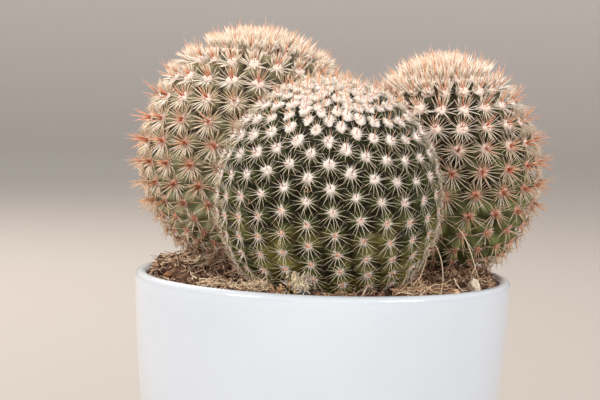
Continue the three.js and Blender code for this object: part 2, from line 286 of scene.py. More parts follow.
def makeFloor():
    radius, sweep = studio["floorRadius"], studio["sweep"]
    angles = np.linspace(0, math.pi / 2, studio["sweepSteps"] + 1)[1:]
    line = [(0, 0), (radius / 2, 0), (radius, 0)]
    line += [(radius + sweep * math.sin(a), sweep * (1 - math.cos(a))) for a in angles]
    bm = turned([*line, (radius + sweep, studio["wallHeight"])], studio["sides"])
    mesh = bpy.data.meshes.new("floor")
    bm.to_mesh(mesh)
    bm.free()
    mesh.shade_smooth()
    # Painted board: matt, with a faint roller texture that keeps it from looking void. It turns paler up the
    # wall: painted light that makes up for the weaker light there.
    sockets = {"Roughness": 0.85, "Specular IOR Level": 0.25}
    material, shader, add, coords = newMaterial("paintedBoard", sockets)
    height = add("SeparateXYZ", {"Vector": coords}).outputs["Z"]
    tone = add("ValToRGB", {"Fac": height}, stops={0: studio["floorColour"], 1: studio["wallColour"]})
    addGrain(shader, add, coords, tone, 3, 3.0, 0.96, 1.03)
    mesh.materials.append(material)
    floor = show("floor", mesh)


def makeLights():
    for name, (place, aim, width, height, watts, colour) in studio["lights"].items():
        data = bpy.data.lights.new(name, "AREA")
        data.shape = "RECTANGLE"
        data.size, data.size_y, data.energy = width, height, watts
        data.color = linear(colour)[:3]
        light = show(name, data)
        light.matrix_world = aimed(place, aim)
        light.visible_camera = False
    world = bpy.context.scene.world = bpy.data.worlds.new("softSky")
    world.use_nodes = True
    sky = {"Color": linear(studio["sky"]), "Strength": studio["skyStrength"]}
    fill(world.node_tree.nodes["Background"], sky)
    bpy.context.scene.view_settings.view_transform = "Standard"


makeFloor()
makeLights()
print("studio set")

# Pot
pot = {
    "rimRadius": 55.0,
    "wall": 3.4,
    "floor": 6.0,
    "baseEdge": 5.0,
    "flare": 0.0233,  # how the outer radius falls with depth: mm a mm
    "belly": 0.0011,  # and mm a square mm
    "sides": 144,
    "wallPoints": (26, 14),  # outside and inside
    "flatPoints": 6,
    "edgeSteps": 8,
    "unevenness": 0.05,  # of the glaze
    "waves": 20.0,
    "evenLip": (1, 8),  # the waves fade in between these depths below the rim
    "footLine": (0.5, 2.1),  # the glaze stops this far above the table
    "lipBand": 2.0,
    "glaze": ("#d3dce7", "#d9e1eb"),
    # the lip's darker grey is painted shade for its bright light, where the glaze also thins
    "lip": "#bdc4cb",
    "clay": ("#b9a88f", "#d8ccb8"),
}


def wallRadius(z):
    below = z - rimHeight
    return pot["rimRadius"] + pot["flare"] * below - pot["belly"] * below * below


def arcPoints(radius, height, size, start, end, steps):
    angles = np.radians(np.linspace(start, end, steps + 1))
    return [(radius + size * math.cos(a), height + size * math.sin(a)) for a in angles]


def potProfile():
    wall, edge, steps, flat = pot["wall"], pot["baseEdge"], pot["edgeSteps"], pot["flatPoints"]
    lip, innerFloor = wall / 2, pot["floor"] + edge
    lipHeight = rimHeight - lip
    foot, bed = wallRadius(edge) - edge, wallRadius(innerFloor) - wall - edge
    outside, inside = pot["wallPoints"]
    return [
        *((r, 0) for r in np.linspace(0, foot, flat)[:-1]),
        *arcPoints(foot, edge, edge, -90, 0, steps),
        *((wallRadius(z), z) for z in np.linspace(edge, lipHeight, outside)[1:-1]),
        *arcPoints(wallRadius(lipHeight) - lip, lipHeight, lip, 0, 180, 2 * steps),
        *((wallRadius(z) - wall, z) for z in np.linspace(lipHeight, innerFloor, inside)[1:-1]),
        *arcPoints(bed, innerFloor, edge, 0, -90, steps),
        *((r, pot["floor"]) for r in np.linspace(bed, 0, flat)[1:]),
    ]


def glazedStoneware():
    # Glazed stoneware: a dipped white glaze over pale clay. It gives the eye a cool white with crisp
    # reflections that waver a little, a thinner, darker line on the lip and a dry, sandy foot. The lip's
    # darker grey is partly the glaze thinning there and partly painted shade that tones down its bright
    # light.
    sockets = {"IOR": 1.52, "Coat Weight": 0.35, "Coat Roughness": 0.03}
    material, shader, add, coords = newMaterial("glazedStoneware", sockets)
    height = add("SeparateXYZ", {"Vector": coords}).outputs["Z"]
    cloud = add("TexNoise", pattern(coords, 28, Detail=2.0))
    glaze = add("ValToRGB", {"Fac": cloud}, stops=dict(zip((0.3, 0.7), pot["glaze"])))
    # Painted shade: a darker grey on the lip's top band tones down its bright light, where the glaze thins.
    shadedLipFrom, shadedLipTo = (rimHeight - pot["lipBand"]) * mm, rimHeight * mm
    lip = add("MapRange", {"Value": height, "From Min": shadedLipFrom, "From Max": shadedLipTo})
    thin = add("Mix", {0: lip, 6: glaze, 7: linear(pot["lip"])}, data_type="RGBA")
    edge = add("TexNoise", pattern(coords, 9))
    low, high = pot["footLine"]
    line = add("MapRange", {"Value": edge, "To Min": low * mm, "To Max": high * mm})
    foot = add("Math", {0: height, 1: line}, operation="LESS_THAN")
    sand = add("TexNoise", pattern(coords, 0.5, Detail=3.0))
    clay = add("ValToRGB", {"Fac": sand}, stops=dict(zip((0.35, 0.65), pot["clay"])))
    colour = add("Mix", {0: foot, 6: thin, 7: clay}, data_type="RGBA")
    haze = add("TexNoise", pattern(coords, 14, Detail=4.0))
    polish = add("MapRange", {"Value": haze, "To Min": 0.1, "To Max": 0.17})
    rough = add("Mix", {0: foot, 2: polish, 3: 0.85})
    peel = add("TexNoise", pattern(coords, 5, Detail=1.0))
    bump = add("Bump", {"Height": peel, "Strength": 0.12, "Distance": 0.15 * mm})
    fill(shader, {"Base Color": colour, "Roughness": rough, "Normal": bump})
    return material


def makePot():
    points, triangles = takeOut(turned(potProfile(), pot["sides"]))
    away = np.hypot(*points[:, :2].T)
    uneven = np.array([noise.noise(Vector(p) / pot["waves"]) for p in points])
    side = smooth(pot["baseEdge"], 3 * pot["baseEdge"], points[:, 2])
    side *= smooth(*(rimHeight - depth for depth in pot["evenLip"]), points[:, 2])
    outer = away > wallRadius(points[:, 2]) - pot["wall"] / 2
    points[:, :2] *= (1 + pot["unevenness"] / pot["rimRadius"] * uneven * side * outer)[:, None]
    addPiece("pot_glazed", newMesh("pot_glazed", points, triangles), glazedStoneware(), "pot_glaze", "pot")


makePot()
print("pot made")

# What the two side heads share. A pair of angles is where a change starts and ends, from the crown.
sideHead = {
    "shift": 2,
    "tubercle": 2.6,
    "radials": {
        "length": 5.6, "rise": 20, "stand": 54, "lag": 14, "start": 1.15, "blush": 0.8, "thinning": 0.8,
        "crownLength": 1.1, "crownWidth": 0.8, "crownThinning": 0.3,
    },
    "centralWidth": 0.27,
    "centralLift": 0.4,
    "fade": (78, 120),
    "upright": (58, 38),
    # from and to which angle, then bearing, rise and length of each
    "centrals": [
        (0, 34, [(90, 80, 8.0), (210, 76, 7.2), (330, 76, 6.4)]),
        (34, 70, [(90, 80, 8.4), (30, 72, 7.2), (150, 72, 7.2), (270, 66, 6.8)]),
        (70, 120, [
            (270, 60, 7.2), (215, 76, 6.6), (325, 76, 6.6), (90, 82, 7.0), (150, 76, 6.0), (30, 76, 6.2),
        ]),
        (120, 180, [(270, 60, 4.2), (205, 72, 3.6), (335, 72, 3.6)]),
    ],
    "wool": {
        "young": 2.6, "old": 2.1, "aging": (52, 92), "core": (0.7, 0.4), "fibres": 50, "spacing": 3.0,
        "thick": 0.45, "flat": 0.65, "fading": 0.1, "crowding": 0.04, "puff": 0.6, "hairTint": 0.75,
    },
    "spineKinds": ("strawSpine", "orangeSpine"),
    "woolKind": "agedAreoleWool",
}

# The three heads. Angles are degrees, and centre is measured from the middle of the rim. An areole sits at
# row t of its column, firstRow + rowStep t + rowEase t squared from the crown, and shift is how many rows
# the lattice climbs in one turn.
heads = {
    "front": {
        "node": "cactus_front",
        "centre": (1, -26, 24),
        "radius": 30.95,
        "stretch": 1.071,
        "lean": (0.5, 28.5),
        "columns": 26,
        "shift": 10,
        "turn": -2.5,
        "firstRow": 32.2,
        "rowStep": 12.1,
        "rowEase": -0.246,
        "rowTwist": 1.55,
        "tubercle": 1.9,
        "rootRadius": 9,
        # skin: the top colour is painted light on the tubercles, the hollow colour painted shade in the
        # furrows
        "skin": {"hollow": "#181004", "flank": "#30360f", "top": "#4a581f", "old": "#87803c"},
        "radialCount": 15,
        "radialWidth": 0.095,
        "radials": {
            "length": 4.6, "rise": 17, "stand": 26, "lag": 6, "start": 0.7, "blush": 0.3, "thinning": 0.25,
            "crownLength": 0.75, "crownWidth": 0.1, "crownThinning": 0.6,
        },
        "centralWidth": 0.225,
        "centralLift": 0.8,
        "fade": (52, 26),
        "upright": (35, 24),
        "centrals": [
            (0, 34, [(90, 68, 4.4), (250, 72, 3.6)]),
            (34, 52, [(80, 60, 3.8), (250, 72, 3.0)]),
            (52, 115, [(95, 56, 3.3)]),
            (115, 180, [(90, 66, 2.4)]),
        ],
        "wool": {
            "young": 2.2, "old": 1.3, "aging": (43, 82), "core": (0.6, 0.5), "fibres": 64, "spacing": 2.4,
            "thick": 0.6, "flat": 0.35, "fading": 0.4, "crowding": 0.14, "puff": 0.15, "hairTint": 0.4,
        },
        "spineKinds": ("ivorySpine", "russetSpine"),
        "woolKind": "areoleWool",
    },
    "left": {
        **sideHead,
        "node": "cactus_left",
        "centre": (-23, 28.5, 32.3),
        "radius": 33.2,
        "stretch": 1.047,
        "lean": (1.7, -6.6),
        "columns": 22,
        "turn": -25.8,
        "firstRow": 66.5,
        "rowStep": 12.27,
        "rowEase": -0.32,
        "rowTwist": 4.13,
        "rootRadius": 8,
        # skin: the top colour is painted light on the tubercles, the hollow colour painted shade in the
        # furrows
        "skin": {"hollow": "#382f22", "flank": "#8f8a6a", "top": "#bcb79c", "old": "#a2a981"},
        "radialCount": 30,
        "radialWidth": 0.2,
    },
    "right": {
        **sideHead,
        "node": "cactus_right",
        "centre": (37, 18, 30.1),
        "radius": 26.3,
        "stretch": 1.177,
        "lean": (-8, 6.5),
        "columns": 18,
        "turn": 14.6,
        "firstRow": 47.5,
        "rowStep": 12,
        "rowEase": -0.05,
        "rowTwist": -5.48,
        "rootRadius": 7,
        # skin: the top colour is painted light on the tubercles, the hollow colour painted shade in the
        # furrows
        "skin": {"hollow": "#2a2115", "flank": "#454725", "top": "#6c704b", "old": "#7f8852"},
        "radialCount": 25,
        "radialWidth": 0.155,
    },
}

growth = {
    "rows": (-14, 16),
    "crownEdge": 26.0,  # rows crowd together inside this angle, by crownPower
    "crownPower": 0.7,
    "crownEnd": 3.0,
    "rootEnd": 168.0,
    "rootDepth": 16.0,
    "rootTaper": 0.7,
    "flatten": 2.5,  # width over which two heads that touch are pressed flat
    "gap": 0.3,
    "furrowWidth": 0.55,
    "furrowDepth": 0.55,
    "furrowPower": 1.7,
    "youngest": 0.15,
    "skinDetail": 7,
}


def setFrame(head):
    toRight, toFront = [math.tan(math.radians(angle)) for angle in head["lean"]]
    head["axis"] = unit(np.array([toRight, -toFront, 1.0]))
    head["side"] = unit(np.cross([0, 1, 0], head["axis"]))
    head["back"] = np.cross(head["axis"], head["side"])
    head["middle"] = head["centre"] + rim


def reach(head, ways):  # distance from a head's middle to its smooth surface
    along = ways @ head["axis"]
    return head["radius"] / np.sqrt(1 - along**2 + (along / head["stretch"]) ** 2)


def rowAngle(head, t):
    edge, power = growth["crownEdge"], 1 - growth["crownPower"]
    first, step, ease = (head[name] for name in ("firstRow", "rowStep", "rowEase"))
    plain = first + step * t + ease * t * t
    root = math.sqrt(step**2 - 4 * ease * (first - edge))
    shrink = np.maximum(0, 1 + power * root * (t - (root - step) / (2 * ease)) / edge)
    return np.where(plain > edge, plain, edge * shrink ** (1 / power))


# The areoles of a head: where they sit, their angle from the crown, and their out, side and ahead ways.
def findAreoles(head):
    k, row = np.meshgrid(np.arange(head["columns"]), np.arange(*growth["rows"]), indexing="ij")
    t = (row + head["shift"] / head["columns"] * k).ravel()
    s = rowAngle(head, t)
    turn = np.radians(head["turn"] + 360 / head["columns"] * k.ravel() + head["rowTwist"] * t)
    angle = np.radians(s)
    ways = np.outer(np.sin(angle) * np.sin(turn), head["side"])
    ways -= np.outer(np.sin(angle) * np.cos(turn), head["back"])
    ways += np.outer(head["stretch"] * np.cos(angle), head["axis"])
    inside = (s > growth["crownEnd"]) & (s < growth["rootEnd"])
    out, s = unit(ways[inside]), s[inside]
    place = out * reach(head, out)[:, None] + head["middle"]
    kept = []
    for i in np.argsort(np.abs(s - 90), kind="stable"):
        if all(np.sum((place[j] - place[i]) ** 2) > head["wool"]["spacing"] ** 2 for j in kept):
            kept.append(i)
    out, s, place = out[kept], s[kept], place[kept]
    side = unit(np.cross(head["axis"], out))
    return {"place": place, "s": s, "out": out, "side": side, "ahead": np.cross(out, side)}


def findPlanes(head):  # where it touches each neighbour: the way there and how far the skin may reach
    planes = []
    for other in heads.values():
        if other is not head:
            way = other["middle"] - head["middle"]
            distance = np.linalg.norm(way)
            way = way / distance
            own = float(reach(head, way))
            overlap = own + float(reach(other, -way)) - distance
            planes.append((other, way, own - overlap / 2 - growth["gap"]))
    return planes


def pressBack(head, points):
    width = growth["flatten"]
    for _, way, limit in head["planes"]:
        past = (points - head["middle"]) @ way - limit
        move = np.where(past > width, past, np.maximum(past + width, 0) ** 2 / (4 * width))
        points = points - move[:, None] * way
    return points


# Soil: a level a little below the rim with mounds of x, y, height and spread, and a dip at the wall
soil = {
    "level": rimHeight - 0.7,
    "wallDip": 1.0,
    "dipWidth": 3.5,
    "mounds": [(-41, -3, 4.2, 9), (42, 6, 2.6, 10), (8, 20, 1.2, 14)],
    "wallGap": 0.3,
    "innerStep": 2.2,
    "outerStep": 0.68,
    "fineFrom": 24.0,
    "sides": 420,
    "relief": [(5.5, 1.4), (1.9, 0.95), (0.8, 0.3)],  # size and height of its waves, crumbs and grains
    "reliefFade": 2.5,  # near the wall
    "hug": 0.6,  # how far it closes in on the smooth bodies
}


def soilRadius(z=rimHeight):
    return wallRadius(z) - pot["wall"] - soil["wallGap"]


def soilHeight(x, y):
    heap = sum(h * np.exp(-((x - a) ** 2 + (y - b) ** 2) / (2 * w * w)) for a, b, h, w in soil["mounds"])
    dip = np.clip(1 - (soilRadius() - np.hypot(x, y)) / soil["dipWidth"], 0, 1) ** 2
    return soil["level"] + heap * (1 - dip) - soil["wallDip"] * dip


# Height of a head's underside above a point of the ground, with the body grown or shrunk by some mm.
def underside(head, x, y, grow):
    dx, dy = x - head["middle"][0], y - head["middle"][1]
    ax, ay, az = head["axis"]
    squash = 1 / head["stretch"] ** 2 - 1
    across = dx * ax + dy * ay
    a = 1 + squash * az * az
    b = 2 * squash * az * across
    c = dx * dx + dy * dy + squash * across * across - (head["radius"] + grow) ** 2
    inside = b * b - 4 * a * c
    low = head["middle"][2] + (-b - np.sqrt(np.maximum(inside, 0))) / (2 * a)
    return np.where(inside > 0, low, np.inf)


# Moves points of spines and wool out of the pot, the ground and the other heads, by the shortest way.
def keepClear(head, points, spare=0.15):
    for other, way, limit in head["planes"]:
        past = (points - head["middle"]) @ way - limit
        toOther = points - other["middle"]
        ways = unit(toOther)
        deep = reach(other, ways) + spare - np.linalg.norm(toOther, axis=1)
        inside = (past > 0) & (deep > 0)
        back = inside & (past < deep)
        aside = inside & ~back
        points[back] -= past[back][:, None] * way
        points[aside] += deep[aside][:, None] * ways[aside]
    away = np.hypot(*points[:, :2].T)
    outer = wallRadius(points[:, 2]) + spare
    inner = outer - pot["wall"] - 2 * spare
    top = rimHeight + spare
    inWall = (points[:, 2] < top) & (away < outer) & (away > inner) & (points[:, 2] > 0)
    up = inWall & (top - points[:, 2] < outer - away)
    points[up, 2] = top
    aside = inWall & ~up
    points[aside, :2] *= (outer[aside] / away[aside])[:, None]
    ground = soilHeight(*points[:, :2].T) + spare
    low = (away < inner) & (points[:, 2] < ground)
    points[low, 2] = ground[low]
    return points


for head in heads.values():
    setFrame(head)
for head in heads.values():
    head["planes"] = findPlanes(head)
    head["areoles"] = findAreoles(head)
print("areoles:", {name: len(head["areoles"]["s"]) for name, head in heads.items()})


# Skin
def cactusSkin(name, colours):
    # Cactus skin: a living, waxy epidermis over wet tissue. It gives the eye a satin green with fine pale
    # dots and a corky olive tone low down. It is painted paler on the tubercle tops as painted light and
    # darker down into the furrows as painted shade.
    sockets = {"IOR": 1.42, "Specular IOR Level": 0.22}
    sockets |= {"Subsurface Weight": 0.08, "Subsurface Scale": 0.8 * mm}
    material, shader, add, coords = newMaterial(name, sockets)
    furrow = add("Attribute", attribute_name="furrow").outputs["Fac"]
    age = add("Attribute", attribute_name="age").outputs["Fac"]
    mottle = add("TexNoise", pattern(coords, 2.4, Detail=4.0))
    shifted = add("Math", {0: mottle, 1: 0.45, 2: -0.22}, operation="MULTIPLY_ADD")
    depth = add("Math", {0: furrow, 1: shifted}, operation="ADD", use_clamp=True)
    # Painted light and shade: paler tops on the tubercles, a dark hollow colour down in the furrows.
    stops = {0.1: colours["top"], 0.55: colours["flank"], 0.95: colours["hollow"]}
    base = add("ValToRGB", {"Fac": depth}, stops=stops)
    patches = add("TexNoise", pattern(coords, 9, Detail=3.0))
    oldness = add("Math", {0: age, 1: patches}, operation="MULTIPLY")
    corky = add("MapRange", {"Value": oldness, "From Min": 0.22, "From Max": 0.4, "To Max": 0.8})
    aged = add("Mix", {0: corky, 6: base, 7: linear(colours["old"])}, data_type="RGBA")
    dots = add("TexVoronoi", pattern(coords, 0.55))
    speck = add("MapRange", {"Value": dots, "From Min": 0.24, "From Max": 0.14, "To Max": 0.35})
    colour = add("Mix", {0: speck, 6: aged, 7: linear("#a9bd93")}, data_type="RGBA")
    wax = add("MapRange", {"Value": mottle, "To Min": 0.36, "To Max": 0.62})
    grain = add("TexNoise", pattern(coords, 0.45, Detail=3.0))
    bump = add("Bump", {"Height": grain, "Strength": 0.3, "Distance": 0.12 * mm})
    fill(shader, {"Base Color": colour, "Roughness": wax, "Normal": bump})
    return material


def makeSkin(name, head):
    bm = bmesh.new()
    bmesh.ops.create_icosphere(bm, subdivisions=growth["skinDetail"], radius=1)
    ways, triangles = takeOut(bm)
    ways = unit(ways)
    face = ways * reach(head, ways)[:, None]
    areoles = head["areoles"]["place"] - head["middle"]
    near = np.sum(face**2, axis=1)[:, None] + np.sum(areoles**2, axis=1)[None] - 2 * face @ areoles.T
    first, second = np.sqrt(np.maximum(np.partition(near, 1, axis=1)[:, :2], 0)).T
    share = 2 * first / (first + second)  # 0 on an areole, 1 in the furrow between two
    crown = np.degrees(np.arccos(np.clip(ways @ head["axis"], -1, 1)))
    young = np.clip(crown / (2 * growth["crownEdge"]), growth["youngest"], 1)
    crease = growth["furrowDepth"] * np.exp(-((second - first) / growth["furrowWidth"]))
    depth = young * (head["tubercle"] * share ** growth["furrowPower"] + crease)
    points = pressBack(head, face - ways * depth[:, None] + head["middle"])
    aside = np.hypot(*(points - head["middle"])[:, :2].T)
    below = points[:, 2] < head["middle"][2]
    root = below * smooth(head["rootRadius"], growth["rootTaper"] * head["rootRadius"], aside)
    points[:, 2] += root * (rimHeight - growth["rootDepth"] - points[:, 2])
    mesh = newMesh(name, points, triangles)
    # this share also sets the skin's painted shade in the furrows
    addValues(mesh, "furrow", share)
    addValues(mesh, "age", crown / 180)
    addPiece(name, mesh, cactusSkin("cactusSkin_" + name, head["skin"]), head["node"], head["node"])


for name, head in heads.items():
    makeSkin("skin_" + name, head)
print("skins made")

# The colour that some spines have turned, how far the most turned go, and the colours from base to tip
spineColours = {
    "ivorySpine": ("#b09468", 0.6, {0: "#f5e6ce", 0.6: "#ead4b2", 1: "#b08659"}),
    "russetSpine": ("#efb48f", 0.88, {0: "#a86a5c", 0.4: "#8c5044", 1: "#6b3c33"}),
    "strawSpine": (
        "#e9c29c", 0.85, {0: "#f0dcc6", 0.2: "#f8efe1", 0.65: "#f7ead9", 0.86: "#f0bb9a", 1: "#da8762"},
    ),
    "orangeSpine": (
        "#cfb08e", 0.8, {0: "#cf6a43", 0.15: "#dc7d55", 0.45: "#ecad8e", 0.75: "#dc9273", 1: "#bd6e57"},
    ),
}

# How the spines vary. A spread is a normal one, a range is shares of the head's own value, and a span is
# where a change starts and ends, in degrees from the crown.
spineValues = {
    "aboveSoil": 0.4,
    "spread": (4, 5),  # degrees of bearing and rise
    "lengths": (0.84, 1.1),
    "areoleLengths": (0.9, 1.08),
    "widths": (0.85, 1.2),
    "bends": (-0.03, 0.08),
    "lower": {"longer": 0.1, "wider": 0.15, "paler": 0.3, "thinner": 0.8},  # those that point down
    "crownSpan": (46, 16),
    "blushSpan": (40, 75),
    "tintSpread": 0.2,
    "oldWider": 0.2,
    "oldSpan": (90, 115),
    "thinSpan": (93, 125),
    "centralSpread": (14, 7),
    "centralLengths": (0.7, 1.08),
    "centralWidths": (0.85, 1.1),
    "shortestWidth": 0.6,
    "centralStart": 0.25,
    "centralBends": (-0.04, 0.1),
    "centralTintSpread": 0.25,
}


def spineHorn(name, blush, blushShare, stops):
    # Cactus spine: smooth, dry horn, grown hard from the areole. It gives the eye a satin needle that is
    # paler and clearer along its length and coloured at its base or tip.
    sockets = {"Roughness": 0.5, "Subsurface Weight": 0.5, "Subsurface Scale": 0.4 * mm}
    sockets["Subsurface Radius"] = (1.0, 0.85, 0.7)
    material, shader, add, coords = newMaterial(name, sockets)
    along = add("Attribute", attribute_name="along").outputs["Fac"]
    tint = add("Attribute", attribute_name="tint").outputs["Fac"]
    shade = add("ValToRGB", {"Fac": along}, stops=stops)
    amount = add("Math", {0: tint, 1: blushShare}, operation="MULTIPLY")
    colour = add("Mix", {0: amount, 6: shade, 7: linear(blush)}, data_type="RGBA")
    addGrain(shader, add, coords, colour, 0.6, 2.0, 0.78, 1.18)
    return material


spineTemplates = [strand(1, 0.6)]
needleTemplates = [strand(2, 0.85)]
spineHorns = {name: spineHorn(name, *values) for name, values in spineColours.items()}


# Every areole's spines of one kind, as origins, columns and ways. Bearing 90 points to the crown.
def spineCopies(areoles, bearing, rise, length, width, start, lift=0.15):
    each = partial(np.repeat, repeats=bearing.shape[1], axis=0)
    angle, up = np.radians(bearing).ravel()[:, None], np.radians(rise).ravel()[:, None]
    place, out, side, ahead = (each(areoles[name]) for name in ("place", "out", "side", "ahead"))
    flat = side * np.cos(angle) + ahead * np.sin(angle)
    way = flat * np.cos(up) + out * np.sin(up)
    across = unit(np.cross(way, out + 0.3 * side))
    width = width.ravel()[:, None]
    columns = columnsOf(across, way, width, width, length.ravel()[:, None])
    return place + flat * start + out * lift, columns, out, flat


def pickAreoles(areoles, keep):
    return {name: values[keep] for name, values in areoles.items()}


def shownAreoles(head):  # those above the soil, pressed back as the skin is
    place = head["areoles"]["place"]
    ground = soilHeight(*place[:, :2].T) + spineValues["aboveSoil"]
    shown = pickAreoles(head["areoles"], place[:, 2] > ground)
    return {**shown, "place": pressBack(head, shown["place"])}


def makeRadials(name, head, areoles):
    own, shared, lower = head["radials"], spineValues, spineValues["lower"]
    s = areoles["s"][:, None]
    count = len(s)
    shape = (count, head["radialCount"])
    bearing = 360 / shape[1] * (np.arange(shape[1])[None] + draw.random((count, 1)))
    bearing = bearing + draw.normal(0, shared["spread"][0], shape)
    downward = -np.sin(np.radians(bearing))
    standing = smooth(*head["upright"], s + own["lag"] * downward)  # the lower ones lie flat longest
    rise = own["rise"] + draw.normal(0, shared["spread"][1], shape) + own["stand"] * standing
    length = own["length"] * draw.uniform(*shared["lengths"], shape)
    length = length * draw.uniform(*shared["areoleLengths"], (count, 1)) * (1 + lower["longer"] * downward)
    length = length * (1 - (1 - own["crownLength"]) * smooth(*shared["crownSpan"], s))
    width = head["radialWidth"] * draw.uniform(*shared["widths"], shape) * (1 + lower["wider"] * downward)
    width = width * (1 + shared["oldWider"] * smooth(*shared["oldSpan"], s))
    width = width * (1 + own["crownWidth"] * smooth(*head["upright"], s))
    origin, columns, out, _ = spineCopies(areoles, bearing, rise, length, width, own["start"])
    bend = -out * (length.ravel() * draw.uniform(*shared["bends"], length.size))[:, None]
    tint = own["blush"] * smooth(*shared["blushSpan"], s) - lower["paler"] * downward
    tint = np.clip(tint + draw.normal(0, shared["tintSpread"], shape), 0, 1).ravel()
    crowded = smooth(*head["upright"], s) * (1 + lower["thinner"] * downward)  # wool shows below them
    missing = own["thinning"] * smooth(*shared["thinSpan"], s) + own["crownThinning"] * crowded
    kept = draw.random(length.size) > missing.ravel()
    copies = origin[kept], columns[kept], bend[kept], tint[kept]
    horn = spineHorns[head["spineKinds"][0]]
    addCopies(name, spineTemplates, *copies, partial(keepClear, head), horn, head["node"])


def makeCentrals(name, head, areoles):
    shared, grown, lengths, ages = spineValues, [], [], []
    start, lift = shared["centralStart"], head["centralLift"]
    for low, high, kinds in head["centrals"]:
        band = pickAreoles(areoles, (areoles["s"] >= low) & (areoles["s"] < high))
        shape = (len(band["s"]), len(kinds))
        side, rise, length = np.array(kinds).T[:, None] * np.ones((3, *shape))
        side = side + draw.normal(0, shared["centralSpread"][0], shape)
        rise = rise + draw.normal(0, shared["centralSpread"][1], shape)
        length = length * draw.uniform(*shared["centralLengths"], shape)
        share = shared["shortestWidth"] + (1 - shared["shortestWidth"]) * length / length.max()
        width = head["centralWidth"] * draw.uniform(*shared["centralWidths"], shape) * share
        grown.append(spineCopies(band, side, rise, length, width, start, lift))
        lengths.append(length.ravel())
        ages.append(np.repeat(band["s"], len(kinds)))
    origin, columns, _, flat = (np.concatenate(parts) for parts in zip(*grown))
    length = np.concatenate(lengths)
    bend = flat * (length * draw.uniform(*shared["centralBends"], len(length)))[:, None]
    faded = smooth(*head["fade"], np.concatenate(ages))
    tint = np.clip(faded + draw.normal(0, shared["centralTintSpread"], len(length)), 0, 1)
    horn = spineHorns[head["spineKinds"][1]]
    copies = origin, columns, bend, tint
    addCopies(name, needleTemplates, *copies, partial(keepClear, head), horn, head["node"])


for name, head in heads.items():
    head["shown"] = shownAreoles(head)
    makeRadials(f"spines_{name}_radials", head, head["shown"])
    makeCentrals(f"spines_{name}_centrals", head, head["shown"])
print("spines made")

# Wool: colours when young and old, and how it varies, as for the spines
woolColours = {"areoleWool": ("#fbf1e9", "#eebfa4"), "agedAreoleWool": ("#fbeade", "#eba17d")}
woolValues = {
    "sizes": (0.88, 1.12),
    "crowdSpan": (46, 30),
    "smaller": 0.7,  # where tufts crowd
    "longer": 4,  # and how far they stretch up their columns
    "puffSpan": (70, 40),
    "rises": (0.05, 1),  # sines, raised to a power that lays most hairs down
    "risePower": 1.6,
    "lengths": (0.75, 1.35),
    "width": 0.12,
    "widths": (0.7, 1.2),
    "start": (0.1, 0.5),  # an old core shows in the middle of its fuzz
    "tintSpread": 0.12,
    "worn": 0.5,
    "wornSpan": (112, 135),
}

# Areole wool: short, dead white hairs, matted as they grew. It gives the eye a soft, dull white cushion
# that turns tan and thin on old areoles.
woolSockets = {"Roughness": 0.95, "Specular IOR Level": 0.15, "Sheen Weight": 0.25}
wools = {
    name: tintedMaterial(name, {0: young, 0.45: young, 1: old}, woolSockets, 0.35, 3.0, 0.8, 1.12, 0.6, 0.2)
    for name, (young, old) in woolColours.items()
}
tuftTemplates = [lump(seed, 2, 0.55, 0.8, 2.2) for seed in range(5)]
hairTemplates = [strand(0)]


def makeWool(name, head):
    areoles, own, shared = head["shown"], head["wool"], woolValues
    s, out, side, ahead = (areoles[name] for name in ("s", "out", "side", "ahead"))
    rest = partial(keepClear, head), wools[head["woolKind"]], head["node"]
    count = len(s)
    aged = smooth(*own["aging"], s)
    size = own["young"] + (own["old"] - own["young"]) * aged
    size = size * draw.uniform(*shared["sizes"], count)
    core = size * (own["core"][0] + (own["core"][1] - own["core"][0]) * aged)
    crowded = own["crowding"] * smooth(*shared["crowdSpan"], s)  # near the crown they are small and close
    core = core * (1 - shared["smaller"] * crowded)
    long = core * (1 + shared["longer"] * crowded)  # and run together up their columns
    tall = core * (own["thick"] + own["puff"] * smooth(*shared["puffSpan"], s))
    columns = np.stack([side * core[:, None], ahead * long[:, None], out * tall[:, None]], axis=2)
    addCopies(name + "_tufts", tuftTemplates, areoles["place"] + 0.1 * out, columns, 0 * out, aged, *rest)

    shape = (count, own["fibres"])
    bearing = draw.uniform(0, 360, shape)
    rise = draw.uniform(*shared["rises"], shape) ** shared["risePower"]
    length = size[:, None] * draw.uniform(*shared["lengths"], shape) * (1 - own["flat"] * rise)
    length = length * (1 - crowded[:, None])
    width = shared["width"] * size[:, None] * draw.uniform(*shared["widths"], shape)
    aged, s = (np.repeat(values, shape[1]) for values in (aged, s))
    start = shared["start"][0] + shared["start"][1] * aged[:, None]
    rise = np.degrees(np.arcsin(rise))
    origin, columns, _, _ = spineCopies(areoles, bearing, rise, length, width, start, 0.1)
    tint = np.clip(own["hairTint"] * aged + draw.normal(0, shared["tintSpread"], len(s)), 0, 1)
    missing = own["fading"] * aged + shared["worn"] * smooth(*shared["wornSpan"], s)  # thin with age
    kept = draw.random(len(s)) > missing
    origin, columns, tint = origin[kept], columns[kept], tint[kept]
    addCopies(name + "_hairs", hairTemplates, origin, columns, 0 * origin, tint, *rest)


for name, head in heads.items():
    makeWool("wool_" + name, head)
print("wool made")


# Soil
def pottingSoil():
    # Potting soil: peat and bark, dry on top. It gives the eye a dull, dark brown ground with redder and
    # tan crumbs.
    sockets = {"Roughness": 0.96, "Specular IOR Level": 0.15}
    material, shader, add, coords = newMaterial("pottingSoil", sockets)
    crumb = add("TexVoronoi", pattern(coords, 1.3)).outputs["Color"]
    stops = {0.1: "#33231d", 0.4: "#614738", 0.7: "#8b6b56", 0.95: "#b3917a"}
    colour = add("ValToRGB", {"Fac": crumb}, stops=stops)
    addGrain(shader, add, coords, colour, 0.4, 4.0, 0.5, 1.35, 0.9, 0.4)
    return material


